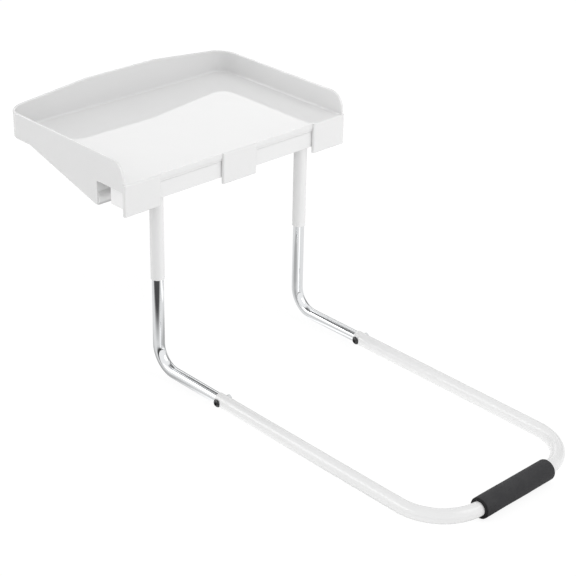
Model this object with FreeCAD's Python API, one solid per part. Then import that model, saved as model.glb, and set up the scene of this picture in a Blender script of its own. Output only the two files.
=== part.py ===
import FreeCAD, Part
import math
import os

# Bedside shelf: a tray that hooks on a rail, on two legs that slide for height, held by a loop that goes
# under a mattress. Every length is in millimetres. Before the last step x is 0 midway between the legs,
# y is 0 on the legs' axes with the tray at positive y, and z is 0 on the axis of the loop. Left is the
# negative x side.

# Driving sizes of the whole object
leg_spacing = 306.0
loop_reach = 613.0
tray_width = 462.0
tray_depth = 302.5
sleeve_bottom_height = 156.0
sleeve_length = 143.5

# Tubes of the loop, the legs and the sleeves
outer_tube_diameter = 22.2
outer_tube_wall = 1.5
slide_fit = 0.075
leg_tube_wall = 1.2
loop_bend_radius = 80.0
leg_bend_radius = 40.0
loop_end_distance = 147.0
leg_plug_in_depth = 45.0
leg_top_above_button = 30.0

# Foam grip on the loop's crossbar
foam_diameter = 33.2
foam_length = 152.0
foam_fit = 0.1
foam_end_rounding = 3.5

# Screw joints between the loop and the legs
screw_diameter = 6.0
screw_hole_clearance = 0.2
screw_end_distance = 7.0
screw_head_diameter = 13.6
screw_head_height = 3.8
screw_socket_width = 5.0
screw_socket_depth = 2.4
nut_width = 10.0
nut_height = 5.0
nut_chamfer = 0.8
nut_thread_fit = 0.03
screw_tip_beyond_nut = 0.8

# Height buttons and their springs
button_diameter = 6.2
button_hole_clearance = 0.3
button_above_sleeve_bottom = 49.0
button_proud = 2.0
button_foot_diameter = 8.4
button_foot_thickness = 0.9
button_foot_gap = 0.3
hole_pitch = 15.0
holes_below_button = 2
holes_above_button = 4
spring_width = 7.0
spring_thickness = 0.7
spring_length = 38.0
spring_bend_radius = 2.2
spring_fit = 0.05
spring_arm_gap = 0.3

# Plugs in the legs' upper ends
leg_plug_length = 12.0
leg_plug_flange = 2.0
leg_plug_fit = 0.05
leg_plug_flange_inset = 0.4

# Rail and its end caps
rail_end_inset = 4.0
rail_depth = 33.0
rail_height = 28.0
rail_wall = 1.5
rail_corner_radius = 1.5
cap_flange = 2.0
cap_plug_length = 14.0
cap_fit = 0.1
cap_edge_rounding = 0.6

# Tray walls and floor
tray_wall = 4.0
tray_floor = 2.6
tray_rib = 2.5
tray_rim_above_floor = 37.2
tray_hump = 15.3
tray_hump_flat = 138.0
tray_hump_foot_inset = 4.0
tray_back_corner_radius = 32.0
tray_front_corner_radius = 28.0
tray_floor_fillet = 4.0
tray_rim_rounding = 1.2
tray_floor_above_rail = 12.1
skirt_below_floor = 5.3
notch_above_rail = 1.8
gusset_low_corner_distance = 46.0
gusset_high_corner_distance = 218.0
gusset_depth_below_rail_top = 39.5
gusset_corner_radius = 3.0

# Tray lip, hanging tabs and hooks
lip_above_floor = 2.1
lip_height = 8.8
lip_thickness = 3.5
tab_width = 70.0
tab_thickness = 5.0
tab_gap = 1.0
tab_below_rail = 9.3
tab_edge_rounding = 2.0
tab_side_rounding = 2.4
hook_reach = 5.5
hook_gap = 0.3
hook_height = 2.6
hook_inset = 10.0

# Ribs under the tray
lip_rib_thickness = 3.0
lip_rib_setback = 1.5
lip_rib_above_rail = 0.4
cross_rib_bead_height = 22.0
cross_rib_bead_proud = 3.5
saddle_relief = 1.6
saddle_relief_front = 7.0
saddle_swing_gap = 0.6
saddle_rib_count = 5
saddle_rib_edge_distance = 60.0
rear_rib_depth = 40.0

# Sizes worked out from the ones above
outer_tube_radius = outer_tube_diameter / 2
outer_tube_bore_radius = outer_tube_radius - outer_tube_wall
leg_tube_radius = outer_tube_bore_radius - slide_fit
leg_tube_bore_radius = leg_tube_radius - leg_tube_wall
half_spacing = leg_spacing / 2
sleeve_top = sleeve_bottom_height + sleeve_length
button_height = sleeve_bottom_height + button_above_sleeve_bottom
leg_top_height = button_height + leg_top_above_button
rail_top = sleeve_top + rail_height
rail_front = -rail_depth / 2
rail_rear = rail_depth / 2
tab_inner = rail_front - tab_gap
tab_front = tab_inner - tab_thickness
lip_front = tab_inner - lip_thickness / 2
lip_rear = lip_front + lip_thickness
lip_rib_front = lip_front + lip_rib_setback
lip_rib_rear = lip_rib_front + lip_rib_thickness
tray_back = lip_front + tray_depth
tray_side = tray_width / 2
rail_end = tray_side - rail_end_inset
floor_top = rail_top + tray_floor_above_rail
floor_bottom = floor_top - tray_floor
lip_top = floor_top + lip_above_floor
lip_bottom = lip_top - lip_height
rim_height = floor_top + tray_rim_above_floor
hump_height = rim_height + tray_hump
hook_axis_distance = tab_inner + hook_reach
hook_axis_height = sleeve_top - hook_gap

# One overrun for every cut that passes right through
overrun = 5.0

x_axis = FreeCAD.Vector(1, 0, 0)
y_axis = FreeCAD.Vector(0, 1, 0)
z_axis = FreeCAD.Vector(0, 0, 1)

# The origin handed on is the middle of the bottom of the object's box, on the surface that it stands on.
origin_shift = FreeCAD.Vector(0, (loop_reach + foam_diameter / 2 - tray_back) / 2, foam_diameter / 2)


def in_side_view(y, z):
    return FreeCAD.Vector(0, y, z)


def in_front_view(x, z):
    return FreeCAD.Vector(x, 0, z)


def in_plan(x, y):
    return FreeCAD.Vector(x, y, 0)


def rounded_outline(corners):
    """A closed wire through (point, radius) corners, each radius a tangent arc and 0 a sharp corner."""
    starts = []
    ends = []
    middles = []
    count = len(corners)
    for index, (point, radius) in enumerate(corners):
        before = (corners[index - 1][0] - point).normalize()
        after = (corners[(index + 1) % count][0] - point).normalize()
        if radius == 0:
            starts.append(point)
            ends.append(point)
            middles.append(None)
            continue
        half_angle = before.getAngle(after) / 2
        reach = radius / math.tan(half_angle)
        bisector = (before + after).normalize()
        center = point + bisector * (radius / math.sin(half_angle))
        starts.append(point + before * reach)
        ends.append(point + after * reach)
        middles.append(center - bisector * radius)
    edges = []
    for index in range(count):
        if middles[index] is not None:
            edges.append(Part.Arc(starts[index], middles[index], ends[index]).toShape())
        following = (index + 1) % count
        if not ends[index].isEqual(starts[following], Part.Precision.confusion()):
            edges.append(Part.makeLine(ends[index], starts[following]))
    return Part.Wire(edges)


def prism(corners, start, travel):
    """A solid with the rounded outline as its section, from a start offset along a travel vector."""
    face = Part.Face(rounded_outline(corners))
    face.translate(start)
    return face.extrude(travel)


def across(corners, low_x, high_x):
    """A prism of a side view outline between two x values."""
    return prism(corners, x_axis * low_x, x_axis * (high_x - low_x))


def rod(path, radius):
    """A solid round rod along a wire of straight runs joined by tangent arcs."""
    first = path.OrderedEdges[0]
    start = first.valueAt(first.FirstParameter)
    direction = first.tangentAt(first.FirstParameter)
    ring = Part.Wire(Part.makeCircle(radius, start, direction))
    return path.makePipeShell([ring], True, True)


def pipe(path, radius, wall):
    return rod(path, radius).cut(rod(path, radius - wall))


def drill_x(x, y, z, radius, length):
    """A cylinder along x, centred on x."""
    return Part.makeCylinder(radius, length, FreeCAD.Vector(x - length / 2, y, z), x_axis)


def screw_place(side):
    return FreeCAD.Vector(side * half_spacing, -loop_end_distance - screw_end_distance, 0)


def screw_hole(side):
    place = screw_place(side)
    radius = screw_diameter / 2 + screw_hole_clearance
    return drill_x(place.x, place.y, place.z, radius, outer_tube_diameter + overrun)


def loop_path():
    """Centre line of the loop: down one side, round two bends and the crossbar, and back."""
    bend = loop_bend_radius
    diagonal = bend * math.cos(math.radians(45))
    side = half_spacing
    near_bend = FreeCAD.Vector(-side + bend, -loop_reach + bend, 0)
    far_bend = FreeCAD.Vector(side - bend, -loop_reach + bend, 0)
    points = [
        in_plan(-side, -loop_end_distance),
        in_plan(-side, near_bend.y),
        near_bend + in_plan(-diagonal, -diagonal),
        in_plan(near_bend.x, -loop_reach),
        in_plan(far_bend.x, -loop_reach),
        far_bend + in_plan(diagonal, -diagonal),
        in_plan(side, far_bend.y),
        in_plan(side, -loop_end_distance),
    ]
    return Part.Wire([
        Part.makeLine(points[0], points[1]),
        Part.Arc(points[1], points[2], points[3]).toShape(),
        Part.makeLine(points[3], points[4]),
        Part.Arc(points[4], points[5], points[6]).toShape(),
        Part.makeLine(points[6], points[7]),
    ])


def make_loop():
    loop = pipe(loop_path(), outer_tube_radius, outer_tube_wall)
    for side in (-1, 1):
        loop = loop.cut(screw_hole(side))
    return loop


def make_foam_grip():
    """A foam tube on the crossbar, turned from a half section with soft ends."""
    half = foam_length / 2
    inner = outer_tube_radius + foam_fit
    outer = foam_diameter / 2
    section = rounded_outline([
        (in_front_view(-half, inner), 0),
        (in_front_view(-half, outer), foam_end_rounding),
        (in_front_view(half, outer), foam_end_rounding),
        (in_front_view(half, inner), 0),
    ])
    grip = Part.Face(section).revolve(FreeCAD.Vector(0, 0, 0), x_axis, 360)
    grip.translate(y_axis * -loop_reach)
    return grip


def leg_path(side):
    """Centre line of a leg: out of the loop, round the bend and up into the sleeve."""
    bend = leg_bend_radius
    x = side * half_spacing
    center = FreeCAD.Vector(x, -bend, bend)
    middle = center + in_side_view(bend, -bend) * math.cos(math.radians(45))
    foot = FreeCAD.Vector(x, -loop_end_distance - leg_plug_in_depth, 0)
    bend_start = FreeCAD.Vector(x, -bend, 0)
    bend_end = FreeCAD.Vector(x, 0, bend)
    top = FreeCAD.Vector(x, 0, leg_top_height)
    return Part.Wire([
        Part.makeLine(foot, bend_start),
        Part.Arc(bend_start, middle, bend_end).toShape(),
        Part.makeLine(bend_end, top),
    ])


def make_leg(side):
    leg = pipe(leg_path(side), leg_tube_radius, leg_tube_wall)
    hole_radius = button_diameter / 2 + button_hole_clearance
    hole_start = FreeCAD.Vector(side * half_spacing, 0, button_height)
    hole = Part.makeCylinder(hole_radius, leg_tube_radius + overrun, hole_start, y_axis)
    return leg.cut(hole).cut(screw_hole(side))


def make_leg_plug(side):
    """A turned plug that closes a leg's upper end."""
    base = FreeCAD.Vector(side * half_spacing, 0, leg_top_height)
    flange_radius = leg_tube_radius - leg_plug_flange_inset
    flange = Part.makeCone(flange_radius, leg_tube_bore_radius, leg_plug_flange, base, z_axis)
    stem_start = base - z_axis * leg_plug_length
    stem = Part.makeCylinder(leg_tube_bore_radius - leg_plug_fit, leg_plug_length, stem_start, z_axis)
    core_radius = leg_tube_bore_radius - leg_tube_wall - leg_plug_fit
    core = Part.makeCylinder(core_radius, leg_plug_length, stem_start, z_axis)
    return flange.fuse(stem.cut(core)).removeSplitter()


def make_screw(side):
    """Button head screw along x: domed head with a hexagon socket, and a shank."""
    place = screw_place(side)
    seat = place - x_axis * outer_tube_radius
    dome_radius = (screw_head_diameter ** 2 / 4 + screw_head_height ** 2) / (2 * screw_head_height)
    dome_center = seat + x_axis * (dome_radius - screw_head_height)
    dome = Part.makeSphere(dome_radius, dome_center)
    slab_start = seat - x_axis * screw_head_height
    slab = Part.makeCylinder(screw_head_diameter / 2, screw_head_height, slab_start, x_axis)
    head = dome.common(slab)
    shank_length = outer_tube_diameter + nut_height + screw_tip_beyond_nut
    shank = Part.makeCylinder(screw_diameter / 2, shank_length, seat, x_axis)
    socket = hexagon_bar(slab_start, screw_socket_width, screw_socket_depth)
    return head.fuse(shank).cut(socket).removeSplitter()


def hexagon_bar(start, width, length):
    """A hexagonal bar along x, given its width across flats, with a corner at the top."""
    corner_radius = width / math.sqrt(3)
    corners = []
    for index in range(6):
        angle = math.radians(60 * index + 30)
        corners.append((in_side_view(corner_radius * math.cos(angle), corner_radius * math.sin(angle)), 0))
    return prism(corners, start, x_axis * length)


def make_nut(side):
    """Hexagon nut on the far side of the tube, with its outer corners turned off."""
    seat = screw_place(side) + x_axis * outer_tube_radius
    corner_radius = nut_width / math.sqrt(3)
    face_radius = corner_radius - nut_chamfer
    straight = nut_height - nut_chamfer / 2
    turned = Part.makeCylinder(corner_radius, straight, seat, x_axis)
    cone = Part.makeCone(corner_radius, face_radius, nut_chamfer / 2, seat + x_axis * straight, x_axis)
    bore = Part.makeCylinder(screw_diameter / 2 + nut_thread_fit, nut_height, seat, x_axis)
    return hexagon_bar(seat, nut_width, nut_height).common(turned.fuse(cone)).cut(bore).removeSplitter()


def make_both(make_one):
    return Part.makeCompound([make_one(-1), make_one(1)])


def spring_face_distance():
    """Furthest that a flat strip's face can lie from the leg's axis without touching the bore."""
    half_width = spring_width / 2
    return math.sqrt((leg_tube_bore_radius - spring_fit) ** 2 - half_width ** 2)


def button_foot_front():
    """The foot's outer face lies a gap inside the bore, measured at the foot's rim."""
    rim = button_foot_diameter / 2
    return math.sqrt(leg_tube_bore_radius ** 2 - rim ** 2) - button_foot_gap


def spring_bend_center():
    """Middle of the bend that joins the spring's two arms, in the side view."""
    front_arm_rear = -spring_face_distance() + spring_thickness
    bend_outside = spring_bend_radius + spring_thickness
    return in_side_view(front_arm_rear + spring_bend_radius, button_height - spring_length + bend_outside)


def make_button(side):
    """Height button: a domed pin on a round foot, with the spring's rear arm that carries it."""
    x = side * half_spacing
    base = FreeCAD.Vector(x, 0, button_height)
    foot_front = button_foot_front()
    foot_back = foot_front - button_foot_thickness
    tip = outer_tube_radius + button_proud
    foot_radius = button_foot_diameter / 2
    foot = Part.makeCylinder(foot_radius, button_foot_thickness, base + y_axis * foot_back, y_axis)
    pin = Part.makeCylinder(button_diameter / 2, tip - foot_front, base + y_axis * foot_front, y_axis)
    dome_radius = button_diameter / 2 + button_proud
    dome = Part.makeSphere(dome_radius, base + y_axis * (tip - dome_radius))
    pin = pin.common(dome.fuse(Part.makeCylinder(button_diameter, tip - button_proud, base, y_axis)))
    bend = spring_bend_center()
    arm_low = bend.z + spring_arm_gap
    arm_front = bend.y + spring_bend_radius
    bend_corner = button_height - foot_radius
    arm = across([
        (in_side_view(arm_front, arm_low), 0),
        (in_side_view(arm_front + spring_thickness, arm_low), 0),
        (in_side_view(foot_back, bend_corner), spring_bend_radius),
        (in_side_view(foot_back, button_height + foot_radius), 0),
        (in_side_view(foot_back - spring_thickness, button_height + foot_radius), 0),
        (in_side_view(foot_back - spring_thickness, bend_corner), spring_bend_radius),
    ], x - spring_width / 2, x + spring_width / 2)
    return pin.fuse([foot, arm]).removeSplitter()


def make_button_spring(side):
    """The spring's front arm, flat against the leg's bore, and the bend at its foot."""
    x = side * half_spacing
    bend = spring_bend_center()
    outside = spring_bend_radius + spring_thickness
    ring = Part.makeCylinder(outside, spring_width, bend, x_axis)
    ring = ring.cut(Part.makeCylinder(spring_bend_radius, spring_width, bend, x_axis))
    lower_half = Part.makeBox(spring_width, outside * 2, outside, bend - in_side_view(outside, outside))
    arm_start = bend - in_side_view(outside, 0)
    arm = Part.makeBox(spring_width, spring_thickness, button_height - bend.z, arm_start)
    spring = ring.common(lower_half).fuse(arm).removeSplitter()
    spring.translate(x_axis * (x - spring_width / 2))
    return spring


def make_sleeve(side):
    """Vertical tube that a leg slides in, with the row of height holes on its rear."""
    x = side * half_spacing
    base = FreeCAD.Vector(x, 0, sleeve_bottom_height)
    sleeve = Part.makeCylinder(outer_tube_radius, sleeve_length, base, z_axis)
    sleeve = sleeve.cut(Part.makeCylinder(outer_tube_bore_radius, sleeve_length, base, z_axis))
    hole_radius = button_diameter / 2 + button_hole_clearance
    for step in range(-holes_below_button, holes_above_button + 1):
        height = button_height + step * hole_pitch
        hole_start = FreeCAD.Vector(x, 0, height)
        hole = Part.makeCylinder(hole_radius, outer_tube_radius + overrun, hole_start, y_axis)
        sleeve = sleeve.cut(hole)
    return sleeve


def rail_outline(inset):
    """The rail's rounded section in side view, drawn in by an inset."""
    radius = max(rail_corner_radius - inset, rail_corner_radius / 2)
    front = rail_front + inset
    rear = rail_rear - inset
    low = sleeve_top + inset
    high = rail_top - inset
    return [
        (in_side_view(front, low), radius),
        (in_side_view(rear, low), radius),
        (in_side_view(rear, high), radius),
        (in_side_view(front, high), radius),
    ]


def make_rail():
    half = rail_end - cap_flange
    return across(rail_outline(0), -half, half).cut(across(rail_outline(rail_wall), -half, half))


def make_rail_cap(side):
    """End cap: a flange as large as the rail and a hollow plug inside it."""
    seat = rail_end - cap_flange
    plug_end = seat - cap_plug_length
    plug_inset = rail_wall + cap_fit
    flange = across(rail_outline(0), seat, rail_end)
    face_edges = [edge for edge in flange.Edges if edge.BoundBox.XMin > rail_end - cap_fit]
    flange = flange.makeFillet(cap_edge_rounding, face_edges)
    plug = across(rail_outline(plug_inset), plug_end, seat)
    hollow = across(rail_outline(plug_inset + rail_wall), plug_end, seat)
    cap = flange.fuse(plug.cut(hollow)).removeSplitter()
    if side < 0:
        cap = cap.mirror(FreeCAD.Vector(0, 0, 0), x_axis)
    return cap


def plan_outline(inset, front):
    """The tray's plan with rounded back corners, drawn in by an inset, from a front line to its back."""
    side = tray_side - inset
    back = tray_back - inset
    radius = tray_back_corner_radius - inset
    return [
        (in_plan(-side, front), 0),
        (in_plan(side, front), 0),
        (in_plan(side, back), radius),
        (in_plan(-side, back), radius),
    ]


def tray_side_outline():
    """Side view of the tray's walls: rounded front corner, rim, gusset under the floor and rail notch."""
    above = hump_height + overrun
    rise = tray_back - tray_back_corner_radius
    skirt = floor_bottom - skirt_below_floor + tray_floor
    notch = rail_top + notch_above_rail
    gusset = rail_top - gusset_depth_below_rail_top
    return [
        (in_side_view(lip_front, notch), 0),
        (in_side_view(lip_front, rim_height), tray_front_corner_radius),
        (in_side_view(rise, rim_height), 0),
        (in_side_view(rise, above), 0),
        (in_side_view(tray_back + overrun, above), 0),
        (in_side_view(tray_back + overrun, skirt), 0),
        (in_side_view(gusset_high_corner_distance, skirt), gusset_corner_radius),
        (in_side_view(gusset_low_corner_distance, gusset), gusset_corner_radius),
        (in_side_view(gusset_low_corner_distance, notch), gusset_corner_radius),
    ]


def tray_top_outline():
    """Front view of the tray's top edge, from the flat rim at the walls' inner faces up to a hump."""
    side = tray_side + overrun
    foot = tray_side - tray_wall - tray_hump_foot_inset
    hump = tray_hump_flat / 2
    slope = math.atan2(tray_hump, foot - hump)
    blend = tray_hump_foot_inset / math.tan(slope / 2)
    low = rail_top - gusset_depth_below_rail_top - overrun
    return [
        (in_front_view(-side, low), 0),
        (in_front_view(side, low), 0),
        (in_front_view(side, rim_height), 0),
        (in_front_view(foot, rim_height), blend),
        (in_front_view(hump, hump_height), blend),
        (in_front_view(-hump, hump_height), blend),
        (in_front_view(-foot, rim_height), blend),
        (in_front_view(-side, rim_height), 0),
    ]


def tray_cavity():
    """The space over the floor, open at the front, with its bottom edges rounded along the walls."""
    depth = hump_height + overrun - floor_top
    space = prism(plan_outline(tray_wall, lip_rear), z_axis * floor_top, z_axis * depth)
    near_floor = floor_top + tray_floor_fillet / 2
    bottom_edges = []
    for edge in space.Edges:
        box = edge.BoundBox
        if box.ZMax < near_floor and box.YMax > lip_rear + overrun:
            bottom_edges.append(edge)
    space = space.makeFillet(tray_floor_fillet, bottom_edges)
    mouth_start = FreeCAD.Vector(-tray_side + tray_wall, lip_front - overrun, lip_top)
    mouth = Part.makeBox(tray_width - 2 * tray_wall, lip_thickness + 2 * overrun, depth, mouth_start)
    return space.fuse(mouth)


def tray_underside():
    """The space under the floor, inside the walls, and the relief under the front lip."""
    low = rail_top - gusset_depth_below_rail_top - overrun
    space = prism(plan_outline(tray_wall, lip_rear), z_axis * low, z_axis * (floor_bottom - low))
    front_start = FreeCAD.Vector(-tray_side + tray_wall, lip_front - overrun, low)
    front_width = tray_width - 2 * tray_wall
    front = Part.makeBox(front_width, lip_thickness + 2 * overrun, lip_bottom - low, front_start)
    return space.fuse(front)


def tray_shell():
    low = rail_top - gusset_depth_below_rail_top - overrun
    height = hump_height + overrun - low
    block = prism(plan_outline(0, lip_front), z_axis * low, z_axis * height)
    block = block.common(across(tray_side_outline(), -tray_width, tray_width))
    crown = prism(tray_top_outline(), y_axis * (lip_front - overrun), y_axis * (tray_depth + 2 * overrun))
    block = block.common(crown)
    return block.cut(tray_cavity()).cut(tray_underside())


def tab_plan(center_x):
    """The tab's plan, with its two outer corners rounded."""
    half = tab_width / 2
    return [
        (in_plan(center_x - half, tab_front), tab_side_rounding),
        (in_plan(center_x + half, tab_front), tab_side_rounding),
        (in_plan(center_x + half, lip_rear + overrun), 0),
        (in_plan(center_x - half, lip_rear + overrun), 0),
    ]


def make_tab(center_x):
    """A tab that hangs over the rail's face, with a hook inside its foot that reaches under the rail."""
    foot = sleeve_top - tab_below_rail
    hook_top = sleeve_top - hook_gap
    hook_low = hook_top - hook_height
    hook_tip = tab_inner + hook_reach
    hook_root = tab_inner - tab_thickness / 2
    half = tab_width / 2
    tab = across([
        (in_side_view(tab_front, foot), tab_edge_rounding / 2),
        (in_side_view(tab_inner, foot), tab_edge_rounding / 2),
        (in_side_view(tab_inner, lip_bottom), 0),
        (in_side_view(lip_rear, lip_bottom), 0),
        (in_side_view(lip_rear, lip_top), 0),
        (in_side_view(tab_front, lip_top), tab_edge_rounding),
    ], center_x - half, center_x + half)
    column = prism(tab_plan(center_x), z_axis * (foot - overrun), z_axis * (lip_top - foot + 2 * overrun))
    tab = tab.common(column)
    hook = across([
        (in_side_view(hook_root, foot + tab_edge_rounding), 0),
        (in_side_view(hook_tip, hook_low), 0),
        (in_side_view(hook_tip, hook_top), 0),
        (in_side_view(hook_root, hook_top), 0),
    ], center_x - half + hook_inset, center_x + half - hook_inset)
    return tab.fuse(hook)


def make_lip_rib():
    """The rib behind the lip that closes the gap over the rail, from wall to wall."""
    low = rail_top + lip_rib_above_rail
    top = floor_bottom + tray_floor / 2
    side = tray_side - tray_wall / 2
    return across([
        (in_side_view(lip_rib_front, low), 0),
        (in_side_view(lip_rib_rear, low), 0),
        (in_side_view(lip_rib_rear, top), 0),
        (in_side_view(lip_rib_front, top), 0),
    ], -side, side)


def make_cross_rib():
    """The rib behind the rail, from wall to wall, with a rounded bead along its foot."""
    front = gusset_low_corner_distance
    rear = front + tray_rib
    low = rail_top - gusset_depth_below_rail_top
    bead_top = low + cross_rib_bead_height
    bead_middle = low + cross_rib_bead_height / 2
    plate = across([
        (in_side_view(front, low), 0),
        (in_side_view(rear, low), 0),
        (in_side_view(rear, floor_bottom + tray_floor / 2), 0),
        (in_side_view(front, floor_bottom + tray_floor / 2), 0),
    ], -tray_side + tray_wall / 2, tray_side - tray_wall / 2)
    face = in_side_view(front, low)
    crest = in_side_view(front - cross_rib_bead_proud, bead_middle)
    end = in_side_view(front, bead_top)
    bead_outline = Part.Wire([Part.Arc(face, crest, end).toShape(), Part.makeLine(end, face)])
    bead_face = Part.Face(bead_outline)
    bead_face.translate(x_axis * (-tray_side + tray_wall / 2))
    bead = bead_face.extrude(x_axis * (tray_width - tray_wall))
    return plate.fuse(bead)


def saddle_outline():
    """A rib that sits on the rail and clears it as the tray swings up about its hooks."""
    swing_radius = math.hypot(rail_rear - hook_axis_distance, rail_top - hook_axis_height) + saddle_swing_gap
    seat_rear = hook_axis_distance + math.sqrt(swing_radius ** 2 - (rail_top - hook_axis_height) ** 2)
    low = rail_top - gusset_depth_below_rail_top + cross_rib_bead_height / 2
    swing_rear = hook_axis_distance + swing_radius
    swing_angle = math.atan2(rail_top - hook_axis_height, seat_rear - hook_axis_distance) / 2
    swing_middle = in_side_view(
        hook_axis_distance + swing_radius * math.cos(swing_angle),
        hook_axis_height + swing_radius * math.sin(swing_angle),
    )
    top = floor_bottom + tray_floor / 2
    rear = gusset_low_corner_distance + tray_rib / 2
    seat_start = in_side_view(hook_axis_distance + saddle_relief_front, rail_top)
    relief_top = rail_top + saddle_relief
    seat_end = in_side_view(seat_rear, rail_top)
    swing_end = in_side_view(swing_rear, hook_axis_height)
    points = [
        swing_end,
        in_side_view(rear, low),
        in_side_view(rear, top),
        in_side_view(lip_rib_rear - lip_rib_thickness / 2, top),
        in_side_view(lip_rib_rear - lip_rib_thickness / 2, relief_top),
        in_side_view(seat_start.y - saddle_relief, relief_top),
        seat_start,
        seat_end,
    ]
    edges = [Part.Arc(seat_end, swing_middle, swing_end).toShape()]
    for start, end in zip(points, points[1:]):
        edges.append(Part.makeLine(start, end))
    return Part.Wire(edges)


def make_saddle_rib(x):
    face = Part.Face(saddle_outline())
    face.translate(x_axis * (x - tray_rib / 2))
    return face.extrude(x_axis * tray_rib)


def make_rear_rib(x):
    """A tapered rib behind the cross rib, like the gussets at the tray's sides."""
    start = gusset_low_corner_distance + tray_rib / 2
    top = floor_bottom + tray_floor / 2
    return across([
        (in_side_view(start, top), 0),
        (in_side_view(gusset_high_corner_distance, top), 0),
        (in_side_view(gusset_high_corner_distance, floor_bottom - tray_rib), 0),
        (in_side_view(start, floor_bottom - rear_rib_depth), 0),
    ], x - tray_rib / 2, x + tray_rib / 2)


def round_the_rim(tray):
    """Round the rim's two edges, from the walls' front corners along the sides and over the back."""
    faces_in_plan = []
    for inset, front in ((0, lip_front), (tray_wall, lip_rear)):
        faces_in_plan.append(rounded_outline(plan_outline(inset, front)))
    edges = []
    for edge in tray.Edges:
        box = edge.BoundBox
        if box.ZMin < floor_top + tray_floor_fillet or box.ZMax < rim_height - tray_rim_rounding:
            continue
        middle = edge.valueAt((edge.FirstParameter + edge.LastParameter) / 2)
        spot = Part.Vertex(middle.x, middle.y, 0)
        if min(wire.distToShape(spot)[0] for wire in faces_in_plan) < slide_fit:
            edges.append(edge)
    return tray.makeFillet(tray_rim_rounding, edges)


def make_tray():
    pieces = [make_cross_rib(), make_lip_rib()]
    corner_tab = tray_side - tab_width / 2
    for center_x in (-corner_tab, 0, corner_tab):
        pieces.append(make_tab(center_x))
    last_rib = tray_side - saddle_rib_edge_distance
    for index in range(saddle_rib_count):
        x = last_rib * (2 * index / (saddle_rib_count - 1) - 1)
        pieces.append(make_saddle_rib(x))
        pieces.append(make_rear_rib(x))
    tray = round_the_rim(tray_shell())
    return tray.fuse(pieces).removeSplitter()


def write_node(name, shape):
    """Move a finished piece to the handed-on origin and write it under its name."""
    placed = shape.copy()
    placed.translate(origin_shift)
    placed.exportStep(os.path.join("parts", name + ".step"))


def main():
    os.makedirs("parts", exist_ok=True)
    write_node("under_mattress_loop", make_loop())
    write_node("foam_grip", make_foam_grip())
    write_node("joint_screws", make_both(make_screw))
    write_node("joint_nuts", make_both(make_nut))
    for name, side in (("left", -1), ("right", 1)):
        write_node(name + "_leg", make_leg(side))
        write_node(name + "_leg_plug", make_leg_plug(side))
        write_node(name + "_button", make_button(side))
        write_node(name + "_button_spring", make_button_spring(side))
        write_node(name + "_sleeve", make_sleeve(side))
        write_node(name + "_rail_cap", make_rail_cap(side))
    write_node("rail", make_rail())
    write_node("tray", make_tray())


if __name__ == "__main__":
    main()
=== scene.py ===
"""Bedside shelf: finishes, foam grip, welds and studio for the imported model, laid out as an add-on."""
import math

import bmesh
import bpy
from bpy.props import FloatProperty, FloatVectorProperty, IntProperty, PointerProperty
from mathutils import Matrix, Vector, noise


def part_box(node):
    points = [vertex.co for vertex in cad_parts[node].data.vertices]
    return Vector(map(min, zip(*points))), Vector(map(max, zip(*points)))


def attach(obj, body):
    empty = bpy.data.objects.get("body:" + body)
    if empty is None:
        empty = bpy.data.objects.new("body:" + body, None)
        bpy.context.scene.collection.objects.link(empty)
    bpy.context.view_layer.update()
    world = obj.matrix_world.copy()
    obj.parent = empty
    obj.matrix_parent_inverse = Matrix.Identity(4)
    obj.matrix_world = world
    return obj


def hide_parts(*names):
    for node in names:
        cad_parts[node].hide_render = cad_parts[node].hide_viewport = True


bl_info = {
    "name": "Bedside Shelf Dresser",
    "version": (1, 0, 0),
    "blender": (4, 5, 0),
    "location": "View3D > Sidebar > Shelf",
    "description": "Gives a bedside shelf its finishes, foam grip, welds and studio",
    "category": "Object",
}

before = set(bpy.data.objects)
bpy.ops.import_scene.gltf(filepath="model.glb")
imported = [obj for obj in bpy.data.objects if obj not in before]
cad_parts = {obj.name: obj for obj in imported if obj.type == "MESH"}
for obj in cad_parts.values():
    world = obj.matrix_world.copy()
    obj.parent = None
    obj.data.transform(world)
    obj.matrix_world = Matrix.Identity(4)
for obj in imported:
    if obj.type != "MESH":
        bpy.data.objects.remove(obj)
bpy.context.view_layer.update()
foam_low, foam_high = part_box("foam_grip")
loop_low, loop_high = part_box("under_mattress_loop")
sleeve_low, sleeve_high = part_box("left_sleeve")
left_foot = ((sleeve_low.x + sleeve_high.x) / 2, (sleeve_low.y + sleeve_high.y) / 2, 0.0)
right_foot = (-left_foot[0], left_foot[1], 0.0)

# Section of a weld bead in parts of its leg length: out from the sleeve, and down from the rail
WELD_SECTION = ((-0.25, -0.02), (1.0, -0.02), (0.82, 0.34), (0.5, 0.62), (0.2, 0.9), (-0.25, 1.1))

# Wander of the foam's skin: how fast the finer layers fade, how much finer each one is, and their number
FOAM_LAYERS = (0.8, 2.0, 3)

# Level directions that the light follows: away and across as the camera sees it, then as the shelf stands
AWAY = (0.69, 0.72, 0.0)
ACROSS_TO_LEFT = (-0.69, 0.72, 0.0)
ACROSS_TO_RIGHT = (0.7, -0.7, 0.0)
RIGHT_AND_BACK = (0.85, 0.53, 0.0)
LEFT_AND_BACK = (-0.85, 0.53, 0.0)
BACK_AND_LEFT = (-0.3, 0.95, 0.0)

# Places on the floor: the middle of the painted shadow below the tray, and each post's foot with the
# direction of the bright ray from it
UNDER_TRAY = (-0.08, 0.19, 0.0)
SPOKES = ((left_foot, (-0.17, -0.98, 0.0)), (right_foot, (-0.33, -0.94, 0.0)))

# Ramps of the floor's light: where each starts and ends in metres, then its level at either end
MIRRORED_SIDE = (-0.29, -0.12, 0.09, 1.0)
MIRRORED_FAR = (1.0, 1.3, 1.0, 0.2)
MIRRORED_UNDER_TRAY = (0.08, 0.2, 0.6, 1.06)
SPREAD_SIDE = (-0.45, 0.0, 0.65, 1.0)

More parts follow.
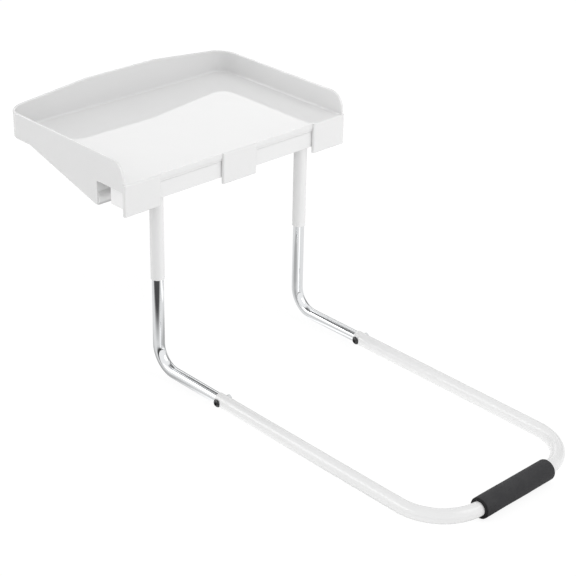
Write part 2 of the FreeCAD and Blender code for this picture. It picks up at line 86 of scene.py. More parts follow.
# Edges of two areas on the floor, in metres: the bright rear left one, and the shadow below the tray
REAR_LEFT_X = (-0.45, -0.3)
REAR_LEFT_Y = (0.25, 0.45)
SHADOW_X = (-0.2, -0.05)
SHADOW_Y = (0.15, 0.3)
SHADOW_LEVEL = 0.15

# Ramps of the spokes and the sky: where each starts and ends on a unit vector, then its level at either end
SPOKE_EDGE = (0.965, 0.99, 1.0, 1.5)
SKY_SPREAD_SIDE = (-0.1, 0.8, 0.9, 1.2)

# The sky's dome and its dim part, with the dim part's edges on a unit vector, sideways and in height
DOME_LEVEL = 1.05
DIM_LEVEL = 0.28
DIM_EDGE = (0.3, 0.55)
DIM_TOP = (0.5, 0.62)

# Lamps in the sky, on a unit vector: side edge of each, and heights of its start, full, fading and end
REAR_LAMP_EDGE = (0.75, 0.85)
REAR_LAMP_HEIGHTS = (0.26, 0.3, 0.43, 0.47)
SIDE_LAMP_EDGE = (0.6, 0.72)
SIDE_LAMP_HEIGHTS = (0.38, 0.44, 0.62, 0.7)

# Glow low behind the object: how strong it is, and its side edge and top on a unit vector
LOW_GLOW = 1.2
LOW_GLOW_EDGE = (0.3, 0.85)
LOW_GLOW_TOP = (0.05, 0.3)


def colour(name, text, default):
    return FloatVectorProperty(name=name, description=text, default=default, min=0, max=1, subtype="COLOR")


def length(name, text, default):
    return FloatProperty(name=name, description=text, default=default, min=0, unit="LENGTH", precision=5)


def share(name, text, default):
    return FloatProperty(name=name, description=text, default=default, min=0, max=1, subtype="FACTOR")


def angle(name, text, degrees):
    return FloatProperty(name=name, description=text, default=math.radians(degrees), subtype="ANGLE")


def number(name, text, default):
    return FloatProperty(name=name, description=text, default=default, min=0)


def position(name, text, default):
    return FloatVectorProperty(
        name=name, description=text, default=default, subtype="TRANSLATION", unit="LENGTH", precision=5
    )


class ShelfCoatSettings(bpy.types.PropertyGroup):
    coat_colour: colour("Coat", "Powder coat of the loop, sleeves and rail", (0.8, 0.8, 0.8))
    coat_roughness: share("Roughness", "Roughness of the powder coat", 0.22)
    peel_size: length("Orange peel", "Size of one dimple in the powder coat", 0.0016)
    cap_colour: colour("Caps", "Plastic of the rail's end caps", (0.92, 0.92, 0.92))
    weld_size: length("Weld", "Leg length of the weld between sleeve and rail", 0.0024)
    weld_ripples: IntProperty(
        name="Weld ripples", description="Ripples once round a weld", default=34, min=3
    )


class ShelfTraySettings(bpy.types.PropertyGroup):
    tray_colour: colour("Tray", "Moulded plastic of the tray", (0.785, 0.785, 0.785))
    floor_roughness: share("Floor roughness", "Roughness of the polished faces", 0.03)
    texture_roughness: share("Underside roughness", "Roughness of the etched underside", 0.5)
    scratch_size: length("Scratch spacing", "Spacing of the fine scratches on the floor", 0.012)
    depth_share: share("Depth share", "Share of the light that goes into the plastic and spreads", 0.4)
    depth_reach: length("Depth reach", "How far light spreads inside the plastic", 0.003)


class ShelfLegSettings(bpy.types.PropertyGroup):
    chrome_colour: colour("Chrome", "Chrome of the legs", (0.78, 0.79, 0.8))
    chrome_roughness: share("Chrome roughness", "Roughness of clean chrome", 0.06)
    black_colour: colour("Black steel", "Joint screws", (0.007, 0.007, 0.008))
    zinc_colour: colour("Zinc", "Plated nuts", (0.64, 0.65, 0.66))
    spring_colour: colour("Spring steel", "Buttons and their springs", (0.55, 0.55, 0.56))
    plug_colour: colour("Plugs", "Plugs in the legs' upper ends", (0.03, 0.03, 0.03))


class ShelfFoamSettings(bpy.types.PropertyGroup):
    foam_colour: colour("Foam", "Closed-cell foam of the grip", (0.026, 0.026, 0.028))
    pore_size: length("Pore", "Size of one pore of the foam", 0.0011)
    end_rounding: length("End rounding", "Rounding at the grip's ends", 0.0028)
    waviness: length("Waviness", "How far the foam's skin wanders", 0.00025)


class ShelfStageSettings(bpy.types.PropertyGroup):
    camera_place: position("Camera", "Where the camera stands", (-1.58987, -1.624125, 1.32686))
    camera_yaw: angle("Yaw", "Camera heading from +Y", -43.76)
    camera_pitch: angle("Pitch", "Camera tilt", -26.99)
    camera_roll: angle("Roll", "Camera roll", -1.22)
    camera_lens: number("Lens", "Focal length in mm on a 36 mm sensor", 101.91)
    floor_colour: colour("Floor", "Colour of the floor", (0.8, 0.8, 0.8))
    world_strength: number("Fill", "Strength of the even light", 0.85)
    rear_strength: number("Rear light", "Light that the tray's floor mirrors", 1.75)
    side_strength: number("Side light", "Light that the tubes mirror", 4.3)
    table_glow: number("Table glow", "Light from the floor on the object", 0.8)
    table_shine: number("Table shine", "Light of the floor in polished faces", 0.5)
    table_white: number("Table white", "Light of the floor to the camera", 0.88)
    key_place: position("Key place", "Where the large lamp hangs", (0.9, -1.7, 2.3))
    key_aim: position("Key aim", "Where the large lamp points", (0.0, 0.1, 0.2))
    key_size: length("Key size", "Diameter of the large lamp", 1.8)
    key_power: number("Key", "Power of the large lamp in watts", 16.0)


class NodeSheet:
    """A short way to place and join shader nodes."""

    def __init__(self, tree):
        self.tree = tree
        self.tree.nodes.clear()

    def add(self, kind, inputs=None, **settings):
        """A new node, with its own settings and then the values or links of its inputs."""
        node = self.tree.nodes.new(kind)
        for key, value in settings.items():
            setattr(node, key, value)
        self.feed(node, inputs or {})
        return node

    def feed(self, node, inputs):
        """Link each input that is given a socket, and set each one that is given a value."""
        for key, value in inputs.items():
            if isinstance(value, bpy.types.NodeSocket):
                self.tree.links.new(value, node.inputs[key])
            else:
                node.inputs[key].default_value = value

    def math(self, operation, first, second=0.0, third=0.0):
        node = self.add("ShaderNodeMath", {0: first, 1: second, 2: third}, operation=operation)
        return node.outputs[0]

    def times(self, first, *others):
        """The product of all the values."""
        for other in others:
            first = self.math("MULTIPLY", first, other)
        return first

    def raised(self, base, by, where):
        """The base value, changed by the full amount where the mask is 1."""
        return self.math("MULTIPLY_ADD", where, by, base)

    def blend(self, factor, first, second):
        """The first value where the factor is 0 and the second where it is 1."""
        node = self.add("ShaderNodeMix", {"Factor": factor, "A": first, "B": second}, data_type="FLOAT")
        return node.outputs["Result"]

    def ramp(self, value, start, end, first=0.0, last=1.0):
        """Smoothly from the first level, held before the start, to the last one, held past the end."""
        node = self.add(
            "ShaderNodeMapRange",
            {"Value": value, "From Min": start, "From Max": end, "To Min": first, "To Max": last},
            interpolation_type="SMOOTHSTEP",
        )
        return node.outputs["Result"]

    def fall(self, value, start, end):
        """1 before the start and 0 past the end."""
        return self.ramp(value, start, end, first=1.0, last=0.0)

    def band(self, value, start, full, fading, end):
        """1 between the full and the fading place, and 0 before the start and past the end."""
        return self.times(self.ramp(value, start, full), self.fall(value, fading, end))

    def vector(self, operation, *inputs, output="Vector"):
        node = self.add("ShaderNodeVectorMath", dict(enumerate(inputs)), operation=operation)
        return node.outputs[output]

    def along(self, place, heading):
        """How far a place, or a direction, lies along a heading."""
        return self.vector("DOT_PRODUCT", place, heading, output="Value")

    def part(self, vector, axis):
        return self.add("ShaderNodeSeparateXYZ", {0: vector}).outputs[axis]

    def tint(self, base, amount):
        """The base colour made lighter or darker by an amount round 1."""
        node = self.add("ShaderNodeVectorMath", {0: tuple(base), "Scale": amount}, operation="SCALE")
        return node.outputs["Vector"]

    def clouds(self, place, count, detail, roughness=0.5, output="Fac"):
        """Soft noise with so many spots in a metre, and so many finer layers over them."""
        inputs = {"Vector": place, "Scale": count, "Detail": detail, "Roughness": roughness}
        return self.add("ShaderNodeTexNoise", inputs).outputs[output]

    def cells(self, place, count, feature="F1"):
        """Distance to the middle of a cell, or to its edge, with so many cells in a metre."""
        node = self.add("ShaderNodeTexVoronoi", {"Vector": place, "Scale": count}, feature=feature)
        return node.outputs["Distance"]

    def bump(self, height, distance):
        node = self.add("ShaderNodeBump", {"Height": height, "Distance": distance, "Strength": 1.0})
        return node.outputs["Normal"]


def effect_group(name, inputs, outputs):
    """An empty shader node group with named sockets, and its sheet, group input and group output."""
    tree = bpy.data.node_groups.new(name, "ShaderNodeTree")
    kinds = {"value": "NodeSocketFloat", "vector": "NodeSocketVector"}
    for label, kind, default in inputs:
        socket = tree.interface.new_socket(label, in_out="INPUT", socket_type=kinds[kind])
        if default is not None:
            socket.default_value = default
    for label, kind in outputs:
        tree.interface.new_socket(label, in_out="OUTPUT", socket_type=kinds[kind])
    sheet = NodeSheet(tree)
    return sheet, sheet.add("NodeGroupInput"), sheet.add("NodeGroupOutput")


def make_dimples_group():
    """Soft dimples like those of a sprayed or baked coat, with a slow change of tone."""
    name = "Dimpled coat"
    if name in bpy.data.node_groups:
        return bpy.data.node_groups[name]
    sheet, given, out = effect_group(
        name,
        [("Place", "vector", None), ("Size", "value", 0.0016), ("Tone spread", "value", 0.02)],
        [("Height", "value"), ("Tone", "value"), ("Roughness change", "value")],
    )
    place = given.outputs["Place"]
    fine = sheet.clouds(place, count=sheet.math("DIVIDE", 1.0, given.outputs["Size"]), detail=1.0)
    slow = sheet.clouds(place, count=9.0, detail=3.0)
    speck = sheet.fall(sheet.cells(place, count=190.0), 0.03, 0.1)
    dusty = sheet.times(speck, sheet.ramp(slow, 0.5, 0.62))
    speck_height = 0.35
    middle, widening = 0.5, 2.0
    swing = sheet.times(sheet.math("SUBTRACT", slow, middle), given.outputs["Tone spread"])
    sheet.feed(out, {
        "Height": sheet.math("ADD", fine, sheet.times(dusty, speck_height)),
        "Tone": sheet.math("ADD", 1.0, sheet.times(swing, widening)),
        "Roughness change": sheet.ramp(slow, 0.35, 0.7, first=-0.03, last=0.05),
    })
    return sheet.tree


def make_wear_group():
    """Rubbed patches and fine scratches that run along one direction, for metal and glossy plastic."""
    name = "Rub and scratch"
    if name in bpy.data.node_groups:
        return bpy.data.node_groups[name]
    sheet, given, out = effect_group(
        name,
        [("Place", "vector", None), ("Stretch", "vector", (1.0, 1.0, 1.0)), ("Spacing", "value", 0.012)],
        [("Scratch", "value"), ("Smudge", "value")],
    )
    place = given.outputs["Place"]
    stretched = sheet.vector("MULTIPLY", place, given.outputs["Stretch"])
    warp = sheet.clouds(place, count=14.0, detail=2.0, output="Color")
    warp_reach = (0.006, 0.006, 0.006)
    bent = sheet.vector("MULTIPLY_ADD", warp, warp_reach, stretched)
    count = sheet.math("DIVIDE", 1.0, given.outputs["Spacing"])
    line = sheet.fall(sheet.cells(bent, count, feature="DISTANCE_TO_EDGE"), 0.0, 0.012)
    patchy = sheet.ramp(sheet.clouds(place, count=22.0, detail=4.0), 0.54, 0.66)
    broad = sheet.clouds(place, count=17.0, detail=5.0, roughness=0.6)
    sheet.feed(out, {
        "Scratch": sheet.times(line, patchy),
        "Smudge": sheet.ramp(broad, 0.48, 0.72),
    })
    return sheet.tree


def dimples(sheet, place, size, spread):
    """The sockets of a dimpled coat: height, tone and roughness change."""
    inputs = {"Place": place, "Size": size, "Tone spread": spread}
    return sheet.add("ShaderNodeGroup", inputs, node_tree=make_dimples_group()).outputs


def wear(sheet, place, stretch, spacing):
    """The sockets of a worn surface: scratch and smudge."""
    inputs = {"Place": place, "Stretch": stretch, "Spacing": spacing}
    return sheet.add("ShaderNodeGroup", inputs, node_tree=make_wear_group()).outputs


def new_material(name):
    """A material with a Principled shader on its output, and the sheet that its other nodes go on."""
    material = bpy.data.materials.new(name)
    material.use_nodes = True
    sheet = NodeSheet(material.node_tree)
    shader = sheet.add("ShaderNodeBsdfPrincipled")
    sheet.add("ShaderNodeOutputMaterial", {"Surface": shader.outputs["BSDF"]})
    place = sheet.add("ShaderNodeTexCoord").outputs["Object"]
    return material, sheet, shader, place


def make_dimpled_material(name, base, roughness, size, spread, relief):
    """A coat or plastic of one colour and roughness, with soft dimples."""
    material, sheet, shader, place = new_material(name)
    skin = dimples(sheet, place, size, spread)
    sheet.feed(shader, {
        "Base Color": sheet.tint(base, skin["Tone"]),
        "Roughness": sheet.math("ADD", roughness, skin["Roughness change"]),
        "Normal": sheet.bump(skin["Height"], relief),
    })
    return material


def make_tray_material(settings):
    """Polished plastic above, etched below: the faces that look down are rougher, finely grained and
    painted darker as shade.
    """
    material, sheet, shader, place = new_material("Moulded tray plastic")
    skin = dimples(sheet, place, size=0.03, spread=0.012)
    marks = wear(sheet, place, stretch=(1.0, 1.0, 1.0), spacing=settings.scratch_size)
    up = sheet.part(sheet.add("ShaderNodeNewGeometry").outputs["Normal"], "Z")
    below = sheet.fall(up, -0.6, -0.2)
    # The faces that look down are painted 40% darker here, as shade under the tray.
    tone = sheet.times(skin["Tone"], sheet.raised(1.0, by=-0.4, where=below))
    polish = sheet.raised(settings.floor_roughness, by=0.035, where=marks["Smudge"])
    scratched = sheet.raised(polish, by=0.12, where=marks["Scratch"])
    etched = sheet.times(below, settings.texture_roughness)
    grain_height, scratch_height = 0.25, -0.02
    grain = sheet.clouds(place, count=2600.0, detail=1.0)
    grain = sheet.times(grain, sheet.times(below, grain_height))
    dips = sheet.times(marks["Scratch"], scratch_height)
    height = sheet.math("ADD", sheet.math("ADD", skin["Height"], grain), dips)
    sheet.feed(shader, {
        "Base Color": sheet.tint(settings.tray_colour, tone),
        "Subsurface Weight": settings.depth_share,
        "Subsurface Radius": (1.0, 1.0, 1.0),
        "Subsurface Scale": settings.depth_reach,
        "Roughness": sheet.math("MAXIMUM", scratched, etched),
        "Normal": sheet.bump(height, distance=0.00008),
    })
    return material


def make_chrome_material(settings):
    material, sheet, shader, place = new_material("Chromed tube")
    marks = wear(sheet, place, stretch=(1.0, 0.12, 0.12), spacing=0.004)
    hazy = sheet.raised(settings.chrome_roughness, by=0.05, where=marks["Smudge"])
    dull = sheet.raised(1.0, by=-0.05, where=marks["Smudge"])
    sheet.feed(shader, {
        "Metallic": 1.0,
        "Base Color": sheet.tint(settings.chrome_colour, dull),
        "Roughness": sheet.raised(hazy, by=0.07, where=marks["Scratch"]),
        "Normal": sheet.bump(sheet.clouds(place, count=420.0, detail=2.0), distance=0.000001),
    })
    return material


def make_black_steel_material(settings):
    material, sheet, shader, place = new_material("Black oxide steel")
    marks = wear(sheet, place, stretch=(1.0, 1.0, 1.0), spacing=0.0016)
    skin = dimples(sheet, place, size=0.0005, spread=0.3)
    black = sheet.tint(settings.black_colour, skin["Tone"])
    bare = (0.3, 0.3, 0.3, 1.0)
    worn = sheet.add(
        "ShaderNodeMix", {"Factor": marks["Scratch"], "A": black, "B": bare}, data_type="RGBA"
    )
    gloss = 0.12
    sheet.feed(shader, {
        "Base Color": worn.outputs["Result"],
        "Roughness": sheet.math("ADD", gloss, skin["Roughness change"]),
        "Normal": sheet.bump(skin["Height"], distance=0.00001),
    })
    return material


def make_zinc_material(settings):
    material, sheet, shader, place = new_material("Zinc plate")
    skin = dimples(sheet, place, size=0.0007, spread=0.06)
    marks = wear(sheet, place, stretch=(0.2, 1.0, 1.0), spacing=0.0012)
    sheet.feed(shader, {
        "Metallic": 1.0,
        "Base Color": sheet.tint(settings.zinc_colour, skin["Tone"]),
        "Roughness": sheet.raised(0.15, by=0.2, where=marks["Scratch"]),
        "Normal": sheet.bump(skin["Height"], distance=0.000008),
    })
    return material


def make_spring_steel_material(settings):
    material, sheet, shader, place = new_material("Spring steel")
    marks = wear(sheet, place, stretch=(1.0, 1.0, 0.1), spacing=0.0012)
    dull = sheet.raised(1.0, by=-0.12, where=marks["Smudge"])
    sheet.feed(shader, {
        "Metallic": 1.0,
        "Base Color": sheet.tint(settings.spring_colour, dull),
        "Roughness": sheet.raised(0.24, by=0.2, where=marks["Scratch"]),
    })
    return material


def make_foam_material(settings):
    """Skinned closed-cell foam: open pores of two sizes, and a skin that is worn matt in patches; the
    pores, the ends and the faces seen edge-on are painted darker as shade.
    """
    material, sheet, shader, place = new_material("Charcoal foam")
    count = 1.0 / settings.pore_size
    large_count = count * 0.42
    small_pit = sheet.ramp(sheet.cells(place, count), 0.12, 0.42)
    large_pit = sheet.ramp(sheet.cells(place, large_count), 0.05, 0.2)
    skin = sheet.times(small_pit, large_pit)
    slow = sheet.clouds(place, count=45.0, detail=4.0)
    end = (foam_high.x - foam_low.x) / 2
    sideways = sheet.math("ABSOLUTE", sheet.part(place, "X"))
    # The last millimetres at each end are painted darker, as shade.
    dark_from, dark_to = end - 0.003, end - 0.001
    painted_end_shade = sheet.ramp(sideways, dark_from, dark_to, first=1.0, last=0.2)
    # Faces seen edge-on are painted darker, as shade towards the outline.
    facing = sheet.add("ShaderNodeLayerWeight", {"Blend": 0.3}).outputs["Facing"]
    painted_outline_shade = sheet.ramp(facing, 0.45, 0.95, first=1.0, last=0.4)
    # The pores are painted darker than the skin between them, as shade in their hollows.
    tone = sheet.raised(sheet.ramp(slow, 0.3, 0.7, first=0.5, last=0.75), by=0.55, where=skin)
    sheet.feed(shader, {
        "Base Color": sheet.tint(settings.foam_colour, sheet.times(tone, sheet.times(painted_end_shade, painted_outline_shade))),
        "Roughness": sheet.ramp(slow, 0.35, 0.65, first=0.74, last=0.92),
        "Normal": sheet.bump(skin, distance=0.00028),
    })
    return material


def floor_spoke(sheet, place, foot, heading):
    """A bright ray on the floor from the foot of a post, which shows as a streak up its chrome."""
    from_foot = sheet.vector("NORMALIZE", sheet.vector("SUBTRACT", place, foot))
    return sheet.ramp(sheet.along(from_foot, heading), *SPOKE_EDGE)


def mirrored_floor(sheet, place):
    """How bright the floor is in polished faces: dark at the front left and far off, with a painted shadow
    below the tray.
    """
    x, y = sheet.part(place, "X"), sheet.part(place, "Y")
    rear_left = sheet.times(sheet.fall(x, *REAR_LEFT_X), sheet.ramp(y, *REAR_LEFT_Y))
    side = sheet.ramp(sheet.along(place, RIGHT_AND_BACK), *MIRRORED_SIDE)
    far = sheet.ramp(sheet.along(place, AWAY), *MIRRORED_FAR)
    # A painted shadow of the tray on the floor, as polished faces see it.
    below = sheet.ramp(sheet.vector("DISTANCE", place, UNDER_TRAY, output="Value"), *MIRRORED_UNDER_TRAY)
    level = sheet.times(sheet.math("MAXIMUM", side, rear_left), far, below)
    for foot, heading in SPOKES:
        level = sheet.times(level, floor_spoke(sheet, place, foot, heading))
    return level


def spread_floor(sheet, place):
    """How much the floor lights matt faces: less from the camera's left, and little from below the tray."""
    x, y = sheet.part(place, "X"), sheet.part(place, "Y")
    shadow = sheet.times(sheet.ramp(x, *SHADOW_X), sheet.ramp(y, *SHADOW_Y))
    side = sheet.ramp(sheet.along(place, ACROSS_TO_RIGHT), *SPREAD_SIDE)
    return sheet.times(side, sheet.blend(shadow, 1.0, SHADOW_LEVEL))


def make_floor_material(settings):
    """Plain white to the camera, and a glow on the object that depends on the kind of ray."""
    material, sheet, shader, place = new_material("Studio floor")
    rays = sheet.add("ShaderNodeLightPath").outputs
    seen = sheet.math("MAXIMUM", rays["Is Camera Ray"], rays["Is Transmission Ray"])
    glossy = rays["Is Glossy Ray"]
    part = sheet.blend(glossy, spread_floor(sheet, place), mirrored_floor(sheet, place))
    level = sheet.blend(glossy, settings.table_glow, settings.table_shine)
    tone = sheet.ramp(sheet.clouds(place, count=40.0, detail=3.0), 0.3, 0.7, first=0.995, last=1.0)
    unseen_shade, seen_shade = 0.5, 0.2
    shade = sheet.blend(seen, sheet.times(part, unseen_shade), seen_shade)
    sheet.feed(shader, {
        "Base Color": sheet.tint(settings.floor_colour, sheet.times(tone, shade)),
        "Roughness": 0.9,
        "Specular IOR Level": 0.0,
        "Emission Color": (1, 1, 1, 1),
        "Emission Strength": sheet.blend(seen, sheet.times(part, level), settings.table_white),
    })
    return material


def mirrored_sky(sheet, heading, settings):
    """How bright the sky is in polished faces: a dome that is dim behind, and two lamps in it."""
    up = sheet.part(heading, "Z")
    away = sheet.along(heading, AWAY)
    dim = sheet.times(sheet.ramp(away, *DIM_EDGE), sheet.fall(up, *DIM_TOP))
    level = sheet.blend(dim, DOME_LEVEL, DIM_LEVEL)
    rear = sheet.times(sheet.band(up, *REAR_LAMP_HEIGHTS), sheet.ramp(away, *REAR_LAMP_EDGE))
    level = sheet.blend(rear, level, settings.rear_strength)
    left = sheet.along(heading, ACROSS_TO_LEFT)
    side = sheet.times(sheet.band(up, *SIDE_LAMP_HEIGHTS), sheet.ramp(left, *SIDE_LAMP_EDGE))
    return sheet.blend(side, level, settings.side_strength)


def spread_sky(sheet, heading, settings):
    """How much the sky lights matt faces: more from the left, and more from low behind."""
    side = sheet.ramp(sheet.along(heading, LEFT_AND_BACK), *SKY_SPREAD_SIDE)
    behind = sheet.ramp(sheet.along(heading, BACK_AND_LEFT), *LOW_GLOW_EDGE)
    low = sheet.times(sheet.fall(sheet.part(heading, "Z"), *LOW_GLOW_TOP), behind)
    return sheet.raised(sheet.times(side, settings.world_strength), by=LOW_GLOW, where=low)


def dress(node_name, material):
    """Give a CAD node its finish by its material slot."""
    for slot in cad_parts[node_name].material_slots:
        slot.material = material


def ring_piece(name, rings, material, body):
    """A smooth piece on a body, through closed rings of points of which the last joins the first."""
    bm = bmesh.new()
    made = [[bm.verts.new(point) for point in ring] for ring in rings]
    for first, second in zip(made, made[1:] + made[:1]):
        for index in range(len(first)):
            after = (index + 1) % len(first)
            face = bm.faces.new((first[index], first[after], second[after], second[index]))
            face.smooth = True
    bmesh.ops.recalc_face_normals(bm, faces=bm.faces)
    mesh = bpy.data.meshes.new(name)
    bm.to_mesh(mesh)
    bm.free()
    piece = bpy.data.objects.new(name, mesh)
    bpy.context.scene.collection.objects.link(piece)
    mesh.materials.append(material)
    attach(piece, body)
    return piece


class SHELF_OT_coat_tubes(bpy.types.Operator):
    """Powder coat the loop, the sleeves and the rail, and finish the rail's end caps"""

    bl_idname = "shelf.coat_tubes"
    bl_label = "Coat the tubes"

    def execute(self, context):
        settings = context.scene.shelf_coat
        coat = make_dimpled_material(
            "White powder coat", settings.coat_colour, roughness=settings.coat_roughness,
            size=settings.peel_size, spread=0.015, relief=0.00003,
        )
        for name in ("under_mattress_loop", "left_sleeve", "right_sleeve", "rail"):
            dress(name, coat)
        cap = make_dimpled_material(
            "Rail cap plastic", settings.cap_colour, roughness=0.46,
            size=0.0004, spread=0.03, relief=0.00002,
        )
        for name in ("left_rail_cap", "right_rail_cap"):
            dress(name, cap)
        return {"FINISHED"}


class SHELF_OT_make_welds(bpy.types.Operator):
    """Lay a coated weld round the top of each sleeve, under the rail"""

    bl_idname = "shelf.make_welds"
    bl_label = "Lay the welds"

    def execute(self, context):
        settings = context.scene.shelf_coat
        size = settings.weld_size
        radius = (sleeve_high.x - sleeve_low.x) / 2
        steps = 160
        below_rail = 0.00002
        ripple_share, uneven_share = 0.1, 0.12
        lumps_round, lumps_apart = 3, 9
        for name in ("left", "right"):
            low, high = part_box(name + "_sleeve")
            center = (low + high) / 2
            rings = []
            for index in range(steps):
                turn = math.tau * index / steps
                out = Vector((math.cos(turn), math.sin(turn), 0))
                ripple = ripple_share * math.sin(settings.weld_ripples * turn)
                uneven = uneven_share * noise.noise(out * lumps_round + center * lumps_apart)
                swell = 1 + ripple + uneven
                ring = []
                for across, drop in WELD_SECTION:
                    spot = out * (radius + size * across * swell)
                    height = sleeve_high.z - size * drop * swell - below_rail
                    ring.append((center.x + spot.x, center.y + spot.y, height))
                rings.append(ring)
            coat = bpy.data.materials["White powder coat"]
            ring_piece(name + "_weld", rings, coat, "upper_frame")
        return {"FINISHED"}


class SHELF_OT_finish_tray(bpy.types.Operator):
    """Give the tray its polished and etched plastic"""

    bl_idname = "shelf.finish_tray"
    bl_label = "Finish the tray"

    def execute(self, context):
        dress("tray", make_tray_material(context.scene.shelf_tray))
        return {"FINISHED"}


class SHELF_OT_finish_legs(bpy.types.Operator):
    """Chrome the legs, and finish their screws, nuts, plugs, buttons and springs"""

    bl_idname = "shelf.finish_legs"
    bl_label = "Finish the legs"

    def execute(self, context):
        settings = context.scene.shelf_leg
        chrome = make_chrome_material(settings)
        steel = make_spring_steel_material(settings)
        plug = make_dimpled_material(
            "Dark plug plastic", settings.plug_colour, roughness=0.48,
            size=0.0004, spread=0.15, relief=0.00002,
        )
        for side in ("left", "right"):
            dress(side + "_leg", chrome)
            dress(side + "_leg_plug", plug)
            dress(side + "_button", steel)
            dress(side + "_button_spring", steel)
        dress("joint_screws", make_black_steel_material(settings))
        dress("joint_nuts", make_zinc_material(settings))
        return {"FINISHED"}


class SHELF_OT_make_foam_grip(bpy.types.Operator):
    """Mould the foam grip on the loop's crossbar, in place of its plain solid"""

    bl_idname = "shelf.make_foam_grip"
    bl_label = "Mould the foam grip"

    def execute(self, context):
        settings = context.scene.shelf_foam
        center = (foam_low + foam_high) / 2
        bore_gap = 0.0002
        outer = (foam_high.z - foam_low.z) / 2 - settings.waviness
        inner = (loop_high.z - loop_low.z) / 2 + bore_gap
        half = (foam_high.x - foam_low.x) / 2
        sides = 96
        waves_along, waves_round = 22, 1.5
        rings = []
        for x, radius, softness in self.stations(half, outer, inner, settings.end_rounding):
            ring = []
            for index in range(sides):
                turn = math.tau * index / sides
                out = Vector((0, math.cos(turn), math.sin(turn)))
                spot = Vector((x * waves_along, out.y * waves_round, out.z * waves_round))
                wander = settings.waviness * softness * noise.fractal(spot, *FOAM_LAYERS)
                ring.append(center + Vector((x, 0, 0)) + out * (radius + wander))
            rings.append(ring)
        foam = make_foam_material(settings)
        grip = ring_piece("foam_grip_moulded", rings, foam, "base")
        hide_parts("foam_grip")
        return {"FINISHED"}

    @staticmethod
    def stations(half, outer, inner, rounding):
        """Place along the grip, radius and softness, from one inner end over the outside to the other."""
        steps, runs = 9, 60
        end = [(-half, inner, 0.0), (-half, (inner + outer - rounding) / 2, 0.3)]
        for index in reversed(range(steps + 1)):
            turn = math.pi / 2 * index / steps
            x = -half + rounding * (1 - math.sin(turn))
            end.append((x, outer - rounding * (1 - math.cos(turn)), 1.0))
        reach = half - rounding
        straight = [(-reach + 2 * reach * index / runs, outer, 1.0) for index in range(1, runs)]
        return end + straight + [(-x, radius, softness) for x, radius, softness in reversed(end)]


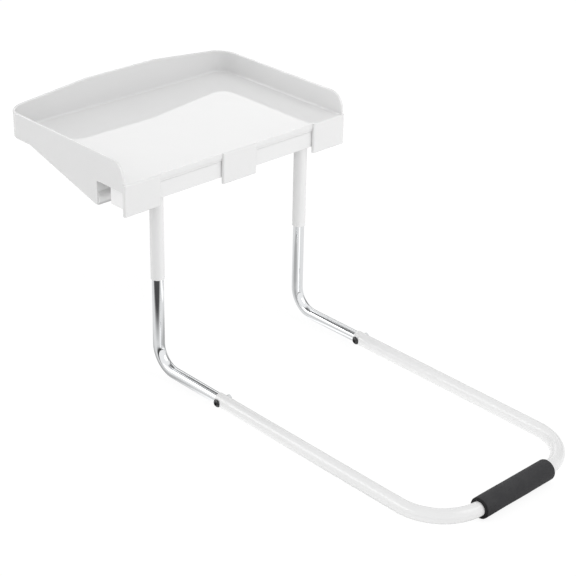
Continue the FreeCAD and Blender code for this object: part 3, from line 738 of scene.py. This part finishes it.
class SHELF_OT_make_stage(bpy.types.Operator):
    """Set the floor, the soft light and the camera"""

    bl_idname = "shelf.make_stage"
    bl_label = "Set the stage"

    def execute(self, context):
        settings = context.scene.shelf_stage
        self.make_floor(context, settings)
        self.make_world(context, settings)
        self.make_lamp(context, settings)
        self.make_camera(context, settings)
        context.scene.view_settings.view_transform = "Standard"
        return {"FINISHED"}

    @staticmethod
    def make_floor(context, settings):
        bm = bmesh.new()
        bmesh.ops.create_grid(bm, x_segments=8, y_segments=8, size=30.0)
        mesh = bpy.data.meshes.new("studio_floor")
        bm.to_mesh(mesh)
        bm.free()
        mesh.materials.append(make_floor_material(settings))
        floor = bpy.data.objects.new("studio_floor", mesh)
        context.scene.collection.objects.link(floor)
        gap_below_object = 0.0005
        floor.location.z = -gap_below_object

    @staticmethod
    def make_world(context, settings):
        """Plain white to the camera, and patterned light on the object."""
        world = bpy.data.worlds.new("Studio world")
        context.scene.world = world
        world.use_nodes = True
        sheet = NodeSheet(world.node_tree)
        rays = sheet.add("ShaderNodeLightPath").outputs
        heading = sheet.add("ShaderNodeTexCoord").outputs["Generated"]
        spread = spread_sky(sheet, heading, settings)
        mirrored = mirrored_sky(sheet, heading, settings)
        level = sheet.blend(rays["Is Glossy Ray"], spread, mirrored)
        white = (1, 1, 1, 1)
        lit = sheet.add("ShaderNodeBackground", {"Color": white, "Strength": level}).outputs[0]
        plain = sheet.add("ShaderNodeBackground", {"Color": white, "Strength": 1.0}).outputs[0]
        pick = sheet.add("ShaderNodeMixShader", {0: rays["Is Camera Ray"], 1: lit, 2: plain})
        sheet.add("ShaderNodeOutputWorld", {"Surface": pick.outputs[0]})

    @staticmethod
    def make_lamp(context, settings):
        light = bpy.data.lights.new("Key", "AREA")
        light.shape = "DISK"
        light.size = settings.key_size
        light.energy = settings.key_power
        lamp = bpy.data.objects.new("Key", light)
        lamp.location = settings.key_place
        toward = Vector(settings.key_aim) - Vector(settings.key_place)
        lamp.rotation_euler = toward.to_track_quat("-Z", "Y").to_euler()
        context.scene.collection.objects.link(lamp)

    @staticmethod
    def make_camera(context, settings):
        data = bpy.data.cameras.new("Camera")
        data.lens = settings.camera_lens
        data.sensor_width = 36.0
        data.clip_start = 0.05
        data.clip_end = 100.0
        camera = bpy.data.objects.new("Camera", data)
        context.scene.collection.objects.link(camera)
        turn = Matrix.Rotation(settings.camera_yaw, 4, "Z")
        tilt = Matrix.Rotation(math.pi / 2 + settings.camera_pitch, 4, "X")
        roll = Matrix.Rotation(-settings.camera_roll, 4, "Z")
        camera.matrix_world = Matrix.Translation(settings.camera_place) @ turn @ tilt @ roll
        context.scene.camera = camera


STEPS = (
    SHELF_OT_coat_tubes,
    SHELF_OT_make_welds,
    SHELF_OT_finish_tray,
    SHELF_OT_finish_legs,
    SHELF_OT_make_foam_grip,
    SHELF_OT_make_stage,
)
GROUPS = {
    "shelf_coat": ShelfCoatSettings,
    "shelf_tray": ShelfTraySettings,
    "shelf_leg": ShelfLegSettings,
    "shelf_foam": ShelfFoamSettings,
    "shelf_stage": ShelfStageSettings,
}


class SHELF_PT_panel(bpy.types.Panel):
    """Sizes, colours and steps of the bedside shelf"""

    bl_idname = "SHELF_PT_panel"
    bl_label = "Bedside shelf"
    bl_space_type = "VIEW_3D"
    bl_region_type = "UI"
    bl_category = "Shelf"

    def draw(self, context):
        for name in GROUPS:
            box = self.layout.box()
            settings = getattr(context.scene, name)
            for key in settings.bl_rna.properties.keys():
                if key not in {"rna_type", "name"}:
                    box.prop(settings, key)
        for step in STEPS:
            self.layout.operator(step.bl_idname)


def register():
    for cls in (*GROUPS.values(), *STEPS, SHELF_PT_panel):
        bpy.utils.register_class(cls)
    for name, cls in GROUPS.items():
        setattr(bpy.types.Scene, name, PointerProperty(type=cls))


def unregister():
    for name in GROUPS:
        delattr(bpy.types.Scene, name)
    for cls in reversed((*GROUPS.values(), *STEPS, SHELF_PT_panel)):
        bpy.utils.unregister_class(cls)


def main():
    register()
    bpy.ops.shelf.coat_tubes()
    bpy.ops.shelf.make_welds()
    bpy.ops.shelf.finish_tray()
    bpy.ops.shelf.finish_legs()
    bpy.ops.shelf.make_foam_grip()
    bpy.ops.shelf.make_stage()


if __name__ == "__main__":
    main()
